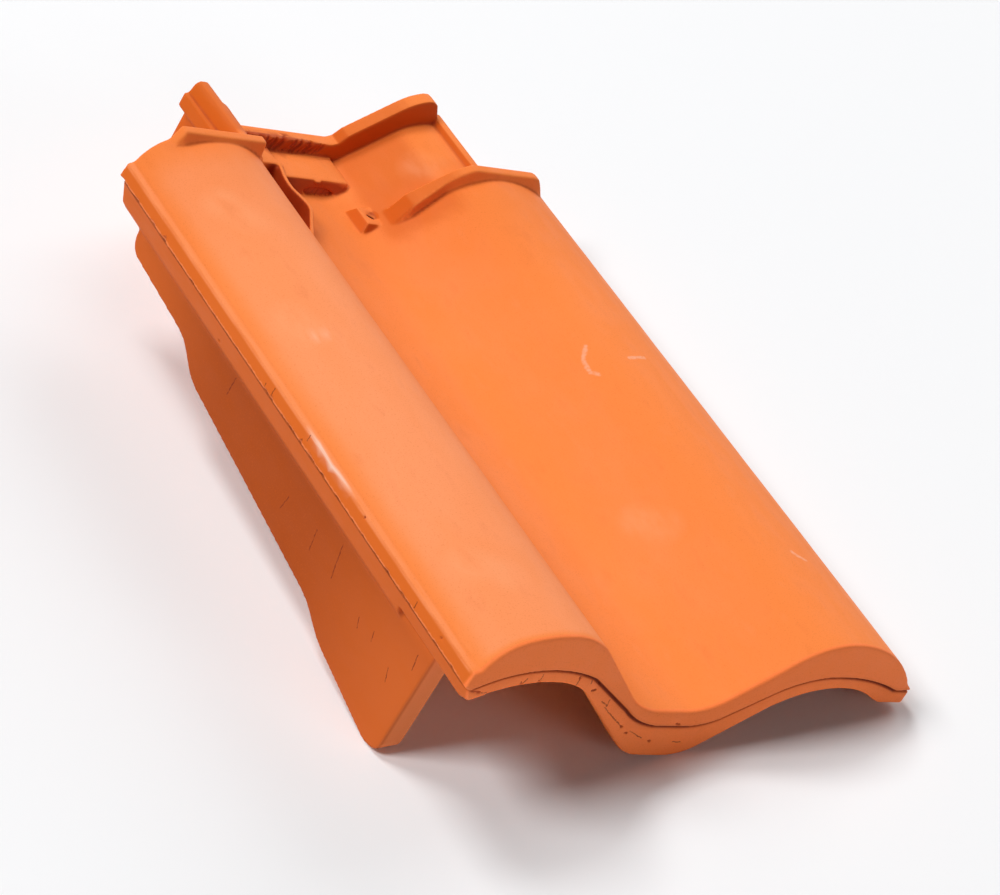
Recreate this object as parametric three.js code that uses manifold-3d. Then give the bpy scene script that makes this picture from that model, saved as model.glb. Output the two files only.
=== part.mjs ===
// A left-hand verge roof tile of fired clay, pressed and fired as one piece.
// Two rolls and the trough between them make the wave that sheds the water. The left roll ends in a thick
// edge with a stepped flap that hangs over the gable wall. The eave end is a nose with a parting groove,
// and the head end is a narrower deck, with a rim and a side ridge, that goes under the next tile.
//
// The tile is drawn in its own frame, in millimetres: X runs across from the verge side, Y from the eave
// to the head, and Z up from the left edge of the top surface. The group then turns it to the way it lies
// on a floor, with its origin below the middle of its box.

import * as THREE from "three";
import { mergeVertices } from "three/addons/utils/BufferGeometryUtils.js";
import Module from "manifold-3d";

const wasm = await Module();
wasm.setup();

// ---- Driving dimensions ----

const DEGREE = Math.PI / 180;
const BODY_LENGTH = 404; // eave nose to the back of the weather collars
const DECK_LENGTH = 63; // head deck, from the collars to the back of the rim
const HEAD_END = BODY_LENGTH + DECK_LENGTH;
const WIDTH = 315; // left rim to the face of the right edge
const SHELL = 12; // wall thickness of the wave
const REST_TILT = 13.8 * DEGREE; // the flap holds the left side up by this much on a floor

// A wave is a crest, a trough and a crest, all arcs, with straight flanks of one slope between them.
const TOP_WAVE = {
  flank: 40 * DEGREE,
  left: { x: 50, z: 26.5, outer: 80, inner: 48 },
  trough: { z: -23.5, radius: 40 },
  right: { x: WIDTH - 62, z: 25.5, inner: 56, outer: 76 },
};
const PARTING_WAVE = {
  flank: 36 * DEGREE,
  left: { x: 50, z: 4.5, outer: 85, inner: 89 },
  trough: { z: -33.3, radius: 50 },
  right: { x: WIDTH - 60, z: 3.2, inner: 80, outer: 130 },
};
const APRON_WAVE = {
  flank: 40 * DEGREE,
  left: { x: 55, z: -4.3, outer: 96, inner: 53 },
  trough: { z: -54.9, radius: 33 },
  right: { x: WIDTH - 53, z: -5.3, inner: 77, outer: 59 },
};
const DECK_CREST = { z: 19, inner: 41, outer: 60 }; // the deck's right crest is lower, on the same flank
const PARTING_END = -5.8; // the parting line ends level at the right edge

const SHOULDER = { radius: 31, turn: 20.5 * DEGREE }; // where the left roll turns down to its rim
const LEFT_RIM = { width: 3.2, inside: 1.8, foot: 3.4 }; // a narrow band rises from the edge to the roll
const RIGHT_EDGE = { top: WIDTH - 3, faceTop: -4.6, foot: -15.4 };

// The left edge: an upper lip, a parting crack under it, and a strip that leans in below.
const LIP = { x: -1.3, z: -8 };
const CRACK = { x: 3.8, z: -11, height: 1 };
const STRIP = { top: 3, lean: 23 * DEGREE, shallow: -21, deep: -25, foot: -29, inner: 15 };
const STRIP_NOTCH = 73; // the strip is shallower from the eave to here
const STRIP_END = { rise: 4, run: 9, twist: 4 }; // and its eave end slopes up, more so inside

const FLAP = { outer: 13, thickness: 13.5, eave: 40, corner: 12, toe: 7, top: 9, bend: 0.4 };
const FLAP_HEAD = BODY_LENGTH - 19;
// The lower edge of the flap, from the head to the eave: three levels, with a bend before each later one.
const FLAP_LEVELS = [
  { from: FLAP_HEAD - 13, to: FLAP_HEAD - 66, z: -42, fall: 2.8 },
  { from: FLAP_HEAD - 101, to: FLAP.eave + 102, z: -58.4, fall: 14.2 },
  { from: FLAP.eave + 68, to: FLAP.eave + 14, z: -83.6, fall: 8.6 },
];

const NOSE = { depth: 14, lean: 1.4, overhang: 1.3 };
const GROOVE = { height: 1.1, depth: 2.2, fall: 0.3 }; // the parting groove across the nose

const COLLAR = { depth: 9, lean: 2.5, top: TOP_WAVE.left.z + 2.8 };
const LEFT_COLLAR = { from: 17.5, full: 21.5, to: 77 };
const RIGHT_COLLAR = { from: WIDTH - 127, full: WIDTH - 119, height: 8, turn: WIDTH - 34, to: WIDTH - 26 };
const COLLAR_BEND = { forward: 5, to: WIDTH - 99 }; // the right collar's trough end bends towards the eave

const DECK = { left: 84, right: WIDTH - 68, floor: TOP_WAVE.trough.z - 1.5, floorEdge: 137, overlap: 14 };
const LEDGE = { x: 66, top: 10.4, bottom: 1.8, slope: 4 };
const RIDGE = { left: 68.5, right: 80, top: 19.5, bevel: 2.5, draft: 1.5, splay: 3, web: 73, overlap: 6 };
const RIDGE_LUG = { endGap: 7, taper: 9, reach: 5.5, top: 17 }; // a swelling on the trough side
const HEAD_RIM = { depth: 11, lean: 1.5, low: DECK.floor + 19, kink: WIDTH - 135, rise: 4, height: 15.5 };
const RIM_END = { from: DECK.right - 17, to: DECK.right - 6, rounding: 0.9 }; // its right end is rounded down
const SIDE_RIB = { left: DECK.right - 9, right: DECK.right - 1, top: 22.8, draft: 2.5, endGap: 4 };
const PLATEAU = { left: 130, right: HEAD_RIM.kink, length: 35, z: DECK.floor + 11, run: 5 };
const POCKET = { length: 27, top: DECK.floor + 13 };
const FIN = { thickness: 3, steps: 22 };
// Its middle line: how far across the tile, and how far from the head end.
const FIN_LINE = [
  [134, 24],
  [131.5, 32],
  [129.5, 40],
  [129, 48],
  [131, 56],
  [132.6, 63],
  [132, 68.5],
  [127.5, 77],
  [122, 87],
  [114, 101.5],
];

// The nail boss stands where the trough turns up into the right flank.
const NAIL_BOSS = { fromTrough: 19.8, y: BODY_LENGTH - 0.5, width: 10, length: 15, rise: 8, flare: 5 };
const NAIL_SLIT = { offset: 1, length: 5.5, width: 1.4, depth: 5, turn: -37 * DEGREE };

const NIB = { back: 12, depth: 17, centres: [136, 168], width: 24, draft: 2 };
const SIDE_LOCK_RIB = { x: WIDTH - 31, width: 7, depth: 5 };

const CURVE_STEPS = 5; // straight facets along each arc
const STATION_GAP = 4; // distance between the sections of a bar that follows the wave
const CLEAR = 5; // how far a cut reaches past the clay
const SINK = 2; // how far a part of the pressing is sunk into the clay that carries it
const CLAY = { color: 0xd98452, roughness: 0.85, metalness: 0 };

// ---- Waves ----

// The deck's right crest, moved across until its flank lies on the body's flank.
function crestOnFlank({ flank, right }, crest) {
  const rise = 1 - Math.cos(flank);
  const lift = right.z - right.inner * rise - (crest.z - crest.inner * rise);
  const x = right.x - (right.inner - crest.inner) * Math.sin(flank) - lift / Math.tan(flank);
  return { ...crest, x };
}
const DECK_WAVE = { ...TOP_WAVE, right: crestOnFlank(TOP_WAVE, DECK_CREST) };

// How far an arc of this radius turns over a distance across.
const turnOver = (across, radius) => Math.asin(across / radius);

// Where the flanks of a wave meet its trough, and the trough's two arc centres.
function troughOf({ flank, left, trough, right }) {
  const rise = 1 - Math.cos(flank);
  const edge = trough.z + trough.radius * rise;
  const reach = (side) => {
    const drop = side.z - side.inner * rise - edge;
    return (side.inner + trough.radius) * Math.sin(flank) + drop / Math.tan(flank);
  };
  return { leftX: left.x + reach(left), rightX: right.x - reach(right) };
}

// The arcs of a wave from left to right: centre, radius, start and end angle, and which way it turns.
function waveArcs(wave, leftTurn, rightTurn) {
  const { flank, left, trough, right } = wave;
  const { leftX, rightX } = troughOf(wave);
  const quarter = Math.PI / 2;
  const crest = (side, radius, start, end) => [side.x, side.z - radius, radius, start, end, true];
  const bowl = (x, start, end) => [x, trough.z + trough.radius, trough.radius, start, end, false];
  return [
    crest(left, left.outer, quarter + leftTurn, quarter),
    crest(left, left.inner, quarter, quarter - flank),
    bowl(leftX, -quarter - flank, -quarter),
    bowl(rightX, -quarter, -quarter + flank),
    crest(right, right.inner, quarter + flank, quarter),
    crest(right, right.outer, quarter, quarter - rightTurn),
  ];
}

// The same wave, moved down by a wall that is equally thick everywhere.
function innerWave(wave, wall) {
  const { flank, left, trough, right } = wave;
  const crest = ({ x, z, inner, outer }) => ({ x, z: z - wall, inner: inner - wall, outer: outer - wall });
  const bowl = { z: trough.z - wall, radius: trough.radius + wall };
  return { flank, left: crest(left), trough: bowl, right: crest(right) };
}

function draw(path, arcs) {
  arcs.forEach((arc) => path.absarc(...arc));
}

function drawBackwards(path, arcs) {
  [...arcs].reverse().forEach(([x, z, radius, start, end, clockwise]) => {
    path.absarc(x, z, radius, end, start, !clockwise);
  });
}

// The height of a drawn line at any x, on the same facets as an extrusion of it.
function heightOf(path) {
  const points = path.getPoints(CURVE_STEPS);
  const last = points[points.length - 1];
  return (x) => {
    const next = points.findIndex((point, index) => index > 0 && point.x >= x);
    if (next < 0) return last.y;
    const [before, after] = [points[next - 1], points[next]];
    return before.y + ((after.y - before.y) * (x - before.x)) / (after.x - before.x);
  };
}

function waveHeight(wave, fromX, toX) {
  const path = new THREE.Path();
  const leftTurn = turnOver(wave.left.x - fromX, wave.left.outer);
  draw(path, waveArcs(wave, leftTurn, turnOver(toX - wave.right.x, wave.right.outer)));
  return heightOf(path);
}

// ---- Solids ----

function solid(geometry) {
  const bare = geometry.index ? geometry.toNonIndexed() : geometry.clone();
  bare.deleteAttribute("normal");
  bare.deleteAttribute("uv");
  const merged = mergeVertices(bare, 1e-4);
  return new wasm.Manifold(
    new wasm.Mesh({
      numProp: 3,
      vertProperties: new Float32Array(merged.attributes.position.array),
      triVerts: new Uint32Array(merged.index.array),
    }),
  );
}

const extrude = (shape, depth) =>
  new THREE.ExtrudeGeometry(shape, { depth, bevelEnabled: false, curveSegments: CURVE_STEPS });

// A shape drawn in X and Z, run along Y.
function alongY(shape, from, to) {
  return solid(extrude(shape, to - from).rotateX(Math.PI / 2).translate(0, to, 0));
}

// A shape drawn in Y and Z, run along X.
function alongX(shape, from, to) {
  return extrude(shape, to - from).rotateX(Math.PI / 2).rotateZ(Math.PI / 2).translate(from, 0, 0);
}

// The triangles that close a flat loop, as indices, in the loop's own direction.
function capTriangles(ring) {
  const sizes = [0, 1, 2].map((axis) => {
    const values = ring.map((point) => point[axis]);
    return Math.max(...values) - Math.min(...values);
  });
  const flat = sizes.indexOf(Math.min(...sizes));
  const outline = ring.map((point) => new THREE.Vector2(point[(flat + 1) % 3], point[(flat + 2) % 3]));
  const triangles = THREE.ShapeUtils.triangulateShape(outline, []);
  return THREE.ShapeUtils.isClockWise(outline) ? triangles.map(([a, b, c]) => [a, c, b]) : triangles;
}

// A solid through a row of loops, each a list of as many points, closed at both ends.
function loft(rings) {
  const corners = [];
  const face = (...points) => points.forEach((point) => corners.push(...point));
  const count = rings[0].length;
  for (let i = 1; i < rings.length; i++) {
    const [a, b] = [rings[i - 1], rings[i]];
    for (let k = 0; k < count; k++) {
      const n = (k + 1) % count;
      face(a[k], a[n], b[n]);
      face(a[k], b[n], b[k]);
    }
  }
  const [first, last] = [rings[0], rings[rings.length - 1]];
  for (const [a, b, c] of capTriangles(first)) {
    face(first[a], first[c], first[b]);
    face(last[a], last[b], last[c]);
  }
  const geometry = new THREE.BufferGeometry();
  geometry.setAttribute("position", new THREE.Float32BufferAttribute(corners, 3));
  return solid(geometry);
}

// A bar across the tile: at each x its section is a loop of [y, z] points.
function acrossX(stations, section) {
  return loft(stations.map((x) => section(x).map(([y, z]) => [x, y, z])));
}

function block(fromX, toX, fromY, toY, fromZ, toZ) {
  const geometry = new THREE.BoxGeometry(toX - fromX, toY - fromY, toZ - fromZ);
  return solid(geometry.translate((fromX + toX) / 2, (fromY + toY) / 2, (fromZ + toZ) / 2));
}

const polygon = (points) => new THREE.Shape(points.map(([x, y]) => new THREE.Vector2(x, y)));
const blend = (x, from, to) => Math.min(1, Math.max(0, (x - from) / (to - from)));
const slopeUp = (x, from, to, low, high) => low + (high - low) * blend(x, from, to);
function split(from, to, count) {
  return Array.from({ length: count + 1 }, (_, i) => from + ((to - from) * i) / count);
}
const spaced = (from, to) => split(from, to, Math.ceil((to - from) / STATION_GAP));
const union = (solids) => solids.reduce((sum, piece) => sum.add(piece));

// ---- Lines that the parts share ----

// The plane that the tile rests on touches the rounded foot of the trough.
const footCentre = { x: troughOf(APRON_WAVE).rightX, z: APRON_WAVE.trough.z + APRON_WAVE.trough.radius };
const footDrop = APRON_WAVE.trough.radius / Math.cos(REST_TILT);
const restAt = (x) => footCentre.z - footDrop + (x - footCentre.x) * Math.tan(REST_TILT);

const leftArcZ = TOP_WAVE.left.z - TOP_WAVE.left.outer;
const shoulderReach = TOP_WAVE.left.outer - SHOULDER.radius;
const shoulderX = TOP_WAVE.left.x - shoulderReach * Math.sin(SHOULDER.turn);
const shoulderZ = leftArcZ + shoulderReach * Math.cos(SHOULDER.turn);
const shoulderStart = Math.PI - Math.asin((LEFT_RIM.foot - shoulderZ) / SHOULDER.radius);

// The top line, from the rim at the left edge to the right edge.
function drawTop(path) {
  path.moveTo(0, 0);
  path.lineTo(LEFT_RIM.width, LEFT_RIM.inside);
  path.absarc(shoulderX, shoulderZ, SHOULDER.radius, shoulderStart, Math.PI / 2 + SHOULDER.turn, true);
  const rightTurn = turnOver(RIGHT_EDGE.top - TOP_WAVE.right.x, TOP_WAVE.right.outer);
  draw(path, waveArcs(TOP_WAVE, SHOULDER.turn, rightTurn));
}

const topLine = new THREE.Path();
drawTop(topLine);
const topAt = heightOf(topLine);
const partingAt = waveHeight(PARTING_WAVE, 0, WIDTH);
const apronAt = waveHeight(APRON_WAVE, STRIP.inner, WIDTH);
const deckAt = waveHeight(DECK_WAVE, DECK.left, DECK.right);
const rimFront = HEAD_END - HEAD_RIM.depth;

// ---- The wave shell, with the lip and the strip along its left edge ----

const underWave = innerWave(TOP_WAVE, SHELL);
const underArcBase = underWave.right.z - underWave.right.outer;
const underRightTurn = Math.PI / 2 - Math.asin((RIGHT_EDGE.foot - underArcBase) / underWave.right.outer);
const underLeftTurn = turnOver(underWave.left.x - STRIP.inner, underWave.left.outer);
// The outer face of the strip leans in as it goes down.
const stripX = (z) => STRIP.top + (CRACK.z - z) * Math.tan(STRIP.lean);
const stripTop = CRACK.z - CRACK.height;

const shellSection = new THREE.Shape();
drawTop(shellSection);
shellSection.lineTo(WIDTH, RIGHT_EDGE.faceTop);
shellSection.lineTo(WIDTH, RIGHT_EDGE.foot);
drawBackwards(shellSection, waveArcs(underWave, underLeftTurn, underRightTurn));
shellSection.lineTo(STRIP.inner, STRIP.shallow);
shellSection.lineTo(stripX(STRIP.shallow), STRIP.shallow);
shellSection.lineTo(stripX(stripTop), stripTop);
shellSection.lineTo(CRACK.x, stripTop);
shellSection.lineTo(CRACK.x, CRACK.z);
shellSection.lineTo(LIP.x, LIP.z);
const shell = alongY(shellSection, 0, BODY_LENGTH);

const deepStrip = alongY(
  polygon([
    [stripX(STRIP.shallow), STRIP.shallow],
    [stripX(STRIP.deep), STRIP.deep],
    [FLAP.outer, STRIP.foot],
    [STRIP.inner, STRIP.foot],
    [STRIP.inner, STRIP.shallow],
    [STRIP.inner - SINK, STRIP.shallow + SINK],
  ]),
  STRIP_NOTCH,
  BODY_LENGTH,
);

// ---- The flap, with its stepped lower edge ----

const slopeOf = ({ from, to, fall }) => fall / (from - to);

function flapOutline() {
  const outline = new THREE.Shape();
  const drop = restAt(FLAP.outer) - (FLAP_LEVELS[2].z - FLAP_LEVELS[2].fall);
  const levels = FLAP_LEVELS.map((level) => ({ ...level, z: level.z + drop }));
  outline.moveTo(FLAP.eave, FLAP.top);
  outline.lineTo(FLAP_HEAD, FLAP.top);
  outline.lineTo(FLAP_HEAD, levels[0].z + FLAP.corner);
  outline.quadraticCurveTo(FLAP_HEAD, levels[0].z, levels[0].from, levels[0].z);
  levels.forEach((level, index) => {
    const end = level.z - level.fall;
    outline.lineTo(level.to, end);
    const next = levels[index + 1];
    if (next) {
      const handle = FLAP.bend * (level.to - next.from);
      const [onLevel, onNext] = [end - handle * slopeOf(level), next.z + handle * slopeOf(next)];
      outline.bezierCurveTo(level.to - handle, onLevel, next.from + handle, onNext, next.from, next.z);
    } else {
      outline.quadraticCurveTo(FLAP.eave, end, FLAP.eave, end + FLAP.toe);
    }
  });
  return outline;
}

// The plate is sheared, so that its lower face lies flat on the floor through its whole thickness.
const shear = new THREE.Matrix4().makeShear(0, Math.tan(REST_TILT), 0, 0, 0, 0);
const flapGeometry = alongX(flapOutline(), 0, FLAP.thickness);
const flap = solid(flapGeometry.applyMatrix4(shear).translate(FLAP.outer, 0, 0));

// ---- The nose ----

const noseStations = topLine.getPoints(CURVE_STEPS).map((point) => point.x);
noseStations.push(WIDTH);
const noseTop = (x) => slopeUp(x, RIGHT_EDGE.top, WIDTH, topAt(x), RIGHT_EDGE.faceTop);
const partingLine = (x) => (x > PARTING_WAVE.right.x ? Math.max(partingAt(x), PARTING_END) : partingAt(x));

// The eave end of the strip slopes up to the apron.
const stripOutside = stripX(STRIP.shallow);
const stripEndCut = acrossX([LIP.x - CLEAR, stripOutside, STRIP.inner, STRIP.inner + SINK], (x) => {
  const top = STRIP.shallow + STRIP_END.rise + STRIP_END.twist * blend(x, stripOutside, STRIP.inner);
  return [
    [-CLEAR, STRIP.shallow - CLEAR],
    [STRIP_END.run, STRIP.shallow - CLEAR],
    [STRIP_END.run, STRIP.shallow],
    [NOSE.overhang, top],
    [-CLEAR, top],
  ];
});

// An apron hangs below the shell at the eave, down to its own wave and the foot at the right edge.
const apron = acrossX(noseStations.filter((x) => x > STRIP.inner - SINK), (x) => {
  const bottom = x > APRON_WAVE.right.x ? Math.max(apronAt(x), RIGHT_EDGE.foot) : apronAt(x);
  const inWall = noseTop(x) - SINK;
  return [
    [0, bottom],
    [NOSE.depth, bottom],
    [NOSE.depth, inWall],
    [0, inWall],
  ];
});

// The nose is faced off: the upper face leans back from the parting line to the top edge, and the band
// below is set back under a groove.
const faceStations = [LIP.x - CLEAR, LIP.x, ...noseStations, WIDTH + CLEAR];
const faceCut = acrossX(faceStations, (x) => {
  const parting = partingLine(Math.max(x, 0));
  const top = noseTop(Math.max(x, 0));
  const lean = NOSE.lean * (1 + CLEAR / (top - parting));
  return [
    [-CLEAR, restAt(0)],
    [NOSE.overhang, restAt(0)],
    [NOSE.overhang, parting - GROOVE.height],
    [NOSE.overhang + GROOVE.depth, parting - GROOVE.fall],
    [0, parting],
    [lean, top + CLEAR],
    [-CLEAR, top + CLEAR],
  ];
});

// ---- The weather collars ----

const collarFront = BODY_LENGTH - COLLAR.depth;
function collar(stations, topOf, frontOf) {
  return acrossX(stations, (x) => {
    const base = topAt(x) - SINK;
    const top = Math.max(topOf(x), base + SINK / 2);
    return [
      [frontOf(x), base],
      [BODY_LENGTH, base],
      [BODY_LENGTH, top],
      [frontOf(x) + COLLAR.lean, top],
    ];
  });
}
const leftCollar = collar(
  spaced(LEFT_COLLAR.from, LEFT_COLLAR.to),
  (x) => slopeUp(x, LEFT_COLLAR.from, LEFT_COLLAR.full, topAt(LEFT_COLLAR.from), COLLAR.top),
  () => collarFront,
);
const rightCollarDrop = COLLAR.top - topAt(RIGHT_COLLAR.to);
const rightCollar = collar(
  spaced(RIGHT_COLLAR.from, RIGHT_COLLAR.to),
  (x) => {
    const fall = rightCollarDrop * blend(x, RIGHT_COLLAR.turn, RIGHT_COLLAR.to) ** 2;
    const height = slopeUp(x, RIGHT_COLLAR.from, RIGHT_COLLAR.full, 0, RIGHT_COLLAR.height);
    return Math.min(COLLAR.top, topAt(x) + height) - fall;
  },
  (x) => collarFront - COLLAR_BEND.forward * (1 - blend(x, RIGHT_COLLAR.full, COLLAR_BEND.to)),
);

// ---- The head deck ----

const deckUnder = innerWave(DECK_WAVE, SHELL);
const deckSection = new THREE.Shape();
deckSection.moveTo(DECK.left, DECK.floor);
deckSection.lineTo(DECK.floorEdge, DECK.floor);
const [, , deckBowlLeft, ...deckRightArcs] = waveArcs(
  DECK_WAVE,
  0,
  turnOver(DECK.right - DECK_WAVE.right.x, DECK_WAVE.right.outer),
);
deckSection.lineTo(deckBowlLeft[0], DECK_WAVE.trough.z);
draw(deckSection, deckRightArcs);
const underArcs = waveArcs(deckUnder, 0, turnOver(DECK.right - deckUnder.right.x, deckUnder.right.outer));
drawBackwards(deckSection, underArcs.slice(3));
deckSection.lineTo(DECK.left, deckUnder.trough.z);
const deck = alongY(deckSection, BODY_LENGTH - DECK.overlap, HEAD_END);

// The side ridge stands on a web at the left of the deck, with a ledge outside it. It widens from the
// head to the collar.
const ridgeRing = (y, splay) => [
  [LEDGE.x + splay / 2, y, LEDGE.top],
  [RIDGE.left + splay, y, LEDGE.top],
  [RIDGE.left + RIDGE.draft + splay, y, RIDGE.top - RIDGE.bevel],
  [RIDGE.left + RIDGE.draft + RIDGE.bevel + splay, y, RIDGE.top],
  [RIDGE.right + splay / 2 - RIDGE.bevel, y, RIDGE.top],
  [RIDGE.right + splay / 2, y, RIDGE.top - RIDGE.bevel],
  [DECK.left + SINK, y, DECK.floor],
  [DECK.left + SINK, y, deckUnder.trough.z],
  [RIDGE.web, y, deckUnder.trough.z],
  [RIDGE.web, y, LEDGE.bottom - LEDGE.slope],
  [LEDGE.x + splay / 2, y, LEDGE.bottom],
];
const ridge = loft([ridgeRing(BODY_LENGTH - RIDGE.overlap, RIDGE.splay), ridgeRing(HEAD_END, 0)]);

const lugRing = (y, reach) => [
  [RIDGE.right - RIDGE.bevel, y, RIDGE_LUG.top],
  [RIDGE.right + reach, y, RIDGE_LUG.top - RIDGE.draft],
  [DECK.left + reach, y, DECK.floor],
  [RIDGE.web + SINK, y, DECK.floor],
];
const lugEnd = HEAD_END - RIDGE_LUG.endGap;
const ridgeLug = loft([
  lugRing(BODY_LENGTH - SINK, 0),
  lugRing(BODY_LENGTH + RIDGE_LUG.taper, RIDGE_LUG.reach),
  lugRing(lugEnd - RIDGE_LUG.taper, RIDGE_LUG.reach),
  lugRing(lugEnd, 0),
]);

const sideRib = alongY(
  polygon([
    [SIDE_RIB.left, deckAt(SIDE_RIB.left) - SINK],
    [SIDE_RIB.left + SIDE_RIB.draft, SIDE_RIB.top],
    [SIDE_RIB.right, SIDE_RIB.top],
    [DECK.right, deckAt(DECK.right)],
    [DECK.right, deckAt(DECK.right) - SINK],
  ]),
  BODY_LENGTH - RIDGE.overlap,
  HEAD_END - SIDE_RIB.endGap,
);

// The rim stops wind-driven water: low and level over the trough, then parallel to the rising flank.
function rimTop(x) {
  const height = HEAD_RIM.height * Math.sqrt(1 - RIM_END.rounding * blend(x, RIM_END.from, RIM_END.to) ** 2);
  return slopeUp(x, HEAD_RIM.kink, HEAD_RIM.kink + HEAD_RIM.rise, HEAD_RIM.low, deckAt(x) + height);
}
const rimBase = (x) => (x < PLATEAU.right ? DECK.floor : deckAt(x)) - SINK;
const rim = acrossX(spaced(DECK.left - SINK, RIM_END.to), (x) => [
  [rimFront, rimBase(x)],
  [HEAD_END, rimBase(x)],
  [HEAD_END, rimTop(x)],
  [rimFront + HEAD_RIM.lean, rimTop(x)],
]);

// A level plateau in front of the rim, with a sloping face towards the trough.
const plateauFront = HEAD_END - PLATEAU.length;
const underFloor = DECK.floor - SINK;
const inRim = rimFront + SINK;
const plateau = loft(
  [PLATEAU.left, PLATEAU.right].map((x) => [
    [x, plateauFront - PLATEAU.run, underFloor],
    [x, inRim, underFloor],
    [x, inRim, PLATEAU.z],
    [x, plateauFront, PLATEAU.z],
  ]),
);
const pocketFront = HEAD_END - POCKET.length;
const pocketBlock = block(DECK.left - SINK, PLATEAU.left + SINK, pocketFront, inRim, underFloor, POCKET.top);

// A thin fin of one height runs from that block along the trough, then turns back into the left roll.
const finPoints = FIN_LINE.map(([x, fromHead]) => new THREE.Vector3(x, HEAD_END - fromHead, POCKET.top));
const finCurve = new THREE.CatmullRomCurve3(finPoints);
const fin = loft(
  split(0, 1, FIN.steps).map((t) => {
    const point = finCurve.getPoint(t);
    const across = finCurve.getTangent(t).multiplyScalar(FIN.thickness / 2);
    const [dx, dy] = [-across.y, across.x];
    return [
      [point.x - dx, point.y - dy, underFloor],
      [point.x + dx, point.y + dy, underFloor],
      [point.x + dx, point.y + dy, point.z],
      [point.x - dx, point.y - dy, point.z],
    ];
  }),
);

// ---- The nail boss ----

const bossX = troughOf(TOP_WAVE).rightX + NAIL_BOSS.fromTrough;
function bossRing(z, flare) {
  const across = NAIL_BOSS.width / 2 + flare;
  const along = NAIL_BOSS.length / 2 + flare;
  return [
    [bossX - across, NAIL_BOSS.y - along, z],
    [bossX + across, NAIL_BOSS.y - along, z],
    [bossX + across, NAIL_BOSS.y + along, z],
    [bossX - across, NAIL_BOSS.y + along, z],
  ];
}
const bossTop = TOP_WAVE.trough.z + NAIL_BOSS.rise;
const boss = loft([bossRing(TOP_WAVE.trough.z - SINK / 2, NAIL_BOSS.flare), bossRing(bossTop, 0)]);
const slitGeometry = new THREE.BoxGeometry(NAIL_SLIT.length, NAIL_SLIT.width, 2 * NAIL_SLIT.depth);
slitGeometry.rotateZ(NAIL_SLIT.turn).translate(bossX + NAIL_SLIT.offset, NAIL_BOSS.y, bossTop);
const slit = solid(slitGeometry);

// ---- Under the tile ----

// Two nibs hang the tile on its batten. Their flat eave faces bear on it.
const nibRight = Math.max(...NIB.centres) + NIB.width / 2;
const nibBottom = restAt(nibRight);
const nibBack = HEAD_END - NIB.back;
const nibEave = nibBack - NIB.depth;
const nibs = NIB.centres.map((centre) => {
  const ring = (z, draft) => {
    const [left, right] = [centre - NIB.width / 2 - draft, centre + NIB.width / 2 + draft];
    return [
      [left, nibEave, z],
      [right, nibEave, z],
      [right, nibBack + draft, z],
      [left, nibBack + draft, z],
    ];
  };
  return loft([ring(nibBottom, 0), ring(deckUnder.trough.z + SINK, NIB.draft)]);
});

// A rib under the right roll drops into the side channel of the next tile.
const lockRibTop = topAt(SIDE_LOCK_RIB.x) - SHELL;
const lockRib = block(
  SIDE_LOCK_RIB.x - SIDE_LOCK_RIB.width / 2,
  SIDE_LOCK_RIB.x + SIDE_LOCK_RIB.width / 2,
  NOSE.depth - SINK,
  collarFront,
  lockRibTop - SIDE_LOCK_RIB.depth,
  lockRibTop + SINK,
);

// ---- One pressing ----

const body = union([shell, deepStrip, flap, apron, leftCollar, rightCollar]);
const head = union([deck, ridge, ridgeLug, sideRib, rim, plateau, pocketBlock, fin, boss]);
const cuts = union([faceCut, stripEndCut, slit]);
const pressing = union([body, head, lockRib, ...nibs]).subtract(cuts);

function meshOf(made, name) {
  const data = made.getMesh();
  const geometry = new THREE.BufferGeometry();
  geometry.setAttribute("position", new THREE.BufferAttribute(data.vertProperties, 3));
  geometry.setIndex(new THREE.BufferAttribute(data.triVerts, 1));
  geometry.computeVertexNormals();
  const mesh = new THREE.Mesh(geometry, new THREE.MeshStandardMaterial(CLAY));
  mesh.name = name;
  return mesh;
}

// The tile is turned about Y to lie on its flap and its feet, and centred over the origin.
const turned = new THREE.Group();
turned.rotation.y = REST_TILT;
turned.add(meshOf(pressing, "verge_tile"));
const box = new THREE.Box3().setFromObject(turned, true);
const centre = box.getCenter(new THREE.Vector3());
turned.position.set(-centre.x, -centre.y, -box.min.z);

const tile = new THREE.Group();
tile.add(turned);
export default tile;
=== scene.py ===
import math

import bmesh
import bpy
from mathutils import Euler, Matrix, Vector


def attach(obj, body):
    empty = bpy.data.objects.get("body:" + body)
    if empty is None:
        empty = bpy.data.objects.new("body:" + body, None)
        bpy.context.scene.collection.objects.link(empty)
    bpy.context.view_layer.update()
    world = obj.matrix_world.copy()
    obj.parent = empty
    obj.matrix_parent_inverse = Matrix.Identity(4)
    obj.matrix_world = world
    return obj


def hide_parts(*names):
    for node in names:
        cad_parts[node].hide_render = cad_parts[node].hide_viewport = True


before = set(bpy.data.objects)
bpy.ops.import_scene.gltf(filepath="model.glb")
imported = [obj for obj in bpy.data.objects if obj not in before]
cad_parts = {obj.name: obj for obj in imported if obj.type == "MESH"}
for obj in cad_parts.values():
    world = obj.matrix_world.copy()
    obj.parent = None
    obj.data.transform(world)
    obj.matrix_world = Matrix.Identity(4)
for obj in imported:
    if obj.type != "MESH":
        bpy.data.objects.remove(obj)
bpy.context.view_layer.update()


# ---- The studio: a white table under soft light ----
# A plain white surface runs past the view on every side. The main lamp stands on the left, with
# others behind the tile and on the right, and a weak one at the front lights the nose.

TABLE_REACH = 30  # from the tile to the table's edge, in metres
# What the camera sees of the table and the room, and what each of them gives the tile as light.
TABLE_SHOWN = (0.92, 0.925, 0.935)
TABLE_LIT = (0.95, 0.95, 0.96)
ROOM_SHOWN = (0.96, 0.96, 0.97)
ROOM_LIT = (0.05, 0.05, 0.052)


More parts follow.
